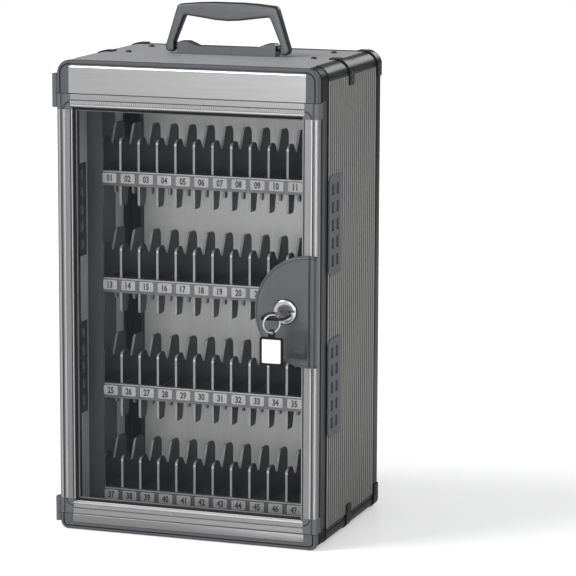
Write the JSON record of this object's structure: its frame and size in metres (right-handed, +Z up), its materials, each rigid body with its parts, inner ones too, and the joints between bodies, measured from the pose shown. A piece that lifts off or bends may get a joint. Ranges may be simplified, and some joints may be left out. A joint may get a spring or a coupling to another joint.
{
  "type": "cell phone locker box",
  "caption": "Upright glazed phone locker cabinet with ribbed sides, numbered slotted racks, a hinged door with a cam lock and key, and a folding carry handle on top.",
  "frame": {"origin": "centre of the cabinet's footprint, on the floor", "axes": "+Z up, -Y out of the door, +X towards the lock side"},
  "size_m": [0.2982, 0.2712, 0.561],
  "materials": {
    "silver_profile": "satin anodised extrusion",
    "gunmetal_plastic": "fine moulded grain",
    "gunmetal_profile": "satin powder coat",
    "ribbed_sheet": "ribbed, satin",
    "grey_sheet": "satin",
    "black_clip": "satin black",
    "plated_steel": "zinc plated",
    "black_screw": "black oxide",
    "rack_metal": "satin",
    "rack_plastic": "matt moulded",
    "strip_metal": "satin anodised",
    "clear_pane": "polished clear sheet",
    "gasket_rubber": "matt",
    "lock_chrome": "polished",
    "key_plastic": "fine moulded grain"
  },
  "bodies": {
    "cabinet": {"header_rail": "silver_profile", "front_trims": "gunmetal_plastic", "sill_rail": "silver_profile", "front_post_left": "gunmetal_profile", "front_post_right": "gunmetal_profile", "corner_top_left": "gunmetal_plastic", "corner_top_right": "gunmetal_plastic", "corner_bottom_left": "gunmetal_plastic", "corner_bottom_right": "gunmetal_plastic", "edge_profile_top_left": "gunmetal_profile", "edge_profile_top_right": "gunmetal_profile", "edge_profile_bottom_left": "gunmetal_profile", "edge_profile_bottom_right": "gunmetal_profile", "rear_rail_top": "gunmetal_profile", "rear_rail_bottom": "gunmetal_profile", "rear_post_left": "gunmetal_profile", "rear_post_right": "gunmetal_profile", "top_panel": "grey_sheet", "bottom_panel": "grey_sheet", "back_panel": "grey_sheet", "side_panel_left": "ribbed_sheet", "side_panel_right": "ribbed_sheet", "edge_clips": "black_clip", "clip_rivets": "plated_steel", "vent_plates": "gunmetal_plastic", "top_screws": "black_screw", "handle_backing_plate": "plated_steel", "rack_upright_left": "rack_metal", "rack_upright_right": "rack_metal", "rack_shelf_1": "rack_plastic", "rack_shelf_2": "rack_plastic", "rack_shelf_3": "rack_plastic", "rack_shelf_4": "rack_plastic", "slot_dividers_1": "rack_plastic", "slot_dividers_2": "rack_plastic", "slot_dividers_3": "rack_plastic", "slot_dividers_4": "rack_plastic", "number_strips": "strip_metal", "hinge_brackets": "gunmetal_plastic", "handle_base": "gunmetal_plastic", "handle_pins": "plated_steel"},
    "door": {"door_rail_top": "silver_profile", "door_rail_bottom": "silver_profile", "door_stile_hinge": "silver_profile", "door_stile_lock": "silver_profile", "door_corners": "gunmetal_plastic", "door_pane": "clear_pane", "door_gasket": "gasket_rubber", "hinge_knuckles": "gunmetal_plastic", "hinge_pins": "plated_steel", "lock_plate": "gunmetal_plastic", "lock_housing": "lock_chrome", "lock_nut": "plated_steel"},
    "plug": {"lock_plug": "lock_chrome", "lock_cam": "plated_steel"},
    "key_blank": {"key": "key_plastic"},
    "split_ring": {"key_ring": "plated_steel"},
    "tag": {"key_tag": "key_plastic"},
    "handle": {"carry_handle": "gunmetal_plastic"}
  },
  "joints": [
    {"name": "door_hinge", "type": "hinge", "parent": "cabinet", "child": "door", "pos_m": [-0.148, -0.101, 0.24], "axis": [0, 0, -1], "range_deg": [0, 120]},
    {"name": "lock_turn", "type": "hinge", "parent": "door", "child": "plug", "pos_m": [0.1112, -0.107, 0.2535], "axis": [0, -1, 0], "range_deg": [0, 90]},
    {"name": "key_draw", "type": "slide", "parent": "plug", "child": "key_blank", "axis": [0, -1, 0], "range_m": [0, 0.024]},
    {"name": "ring_swing", "type": "hinge", "parent": "key_blank", "child": "split_ring", "pos_m": [0.1122, -0.1568, 0.2535], "axis": [0.7071, 0.7071, 0], "range_deg": [-20, 20]},
    {"name": "tag_swing", "type": "hinge", "parent": "split_ring", "child": "tag", "pos_m": [0.1122, -0.1568, 0.2395], "axis": [0, 1, 0], "range_deg": [-25, 25]},
    {"name": "handle_fold", "type": "hinge", "parent": "cabinet", "child": "handle", "pos_m": [0.006, 0.006, 0.5134], "axis": [1, 0, 0], "range_deg": [-85, 85]}
  ]
}
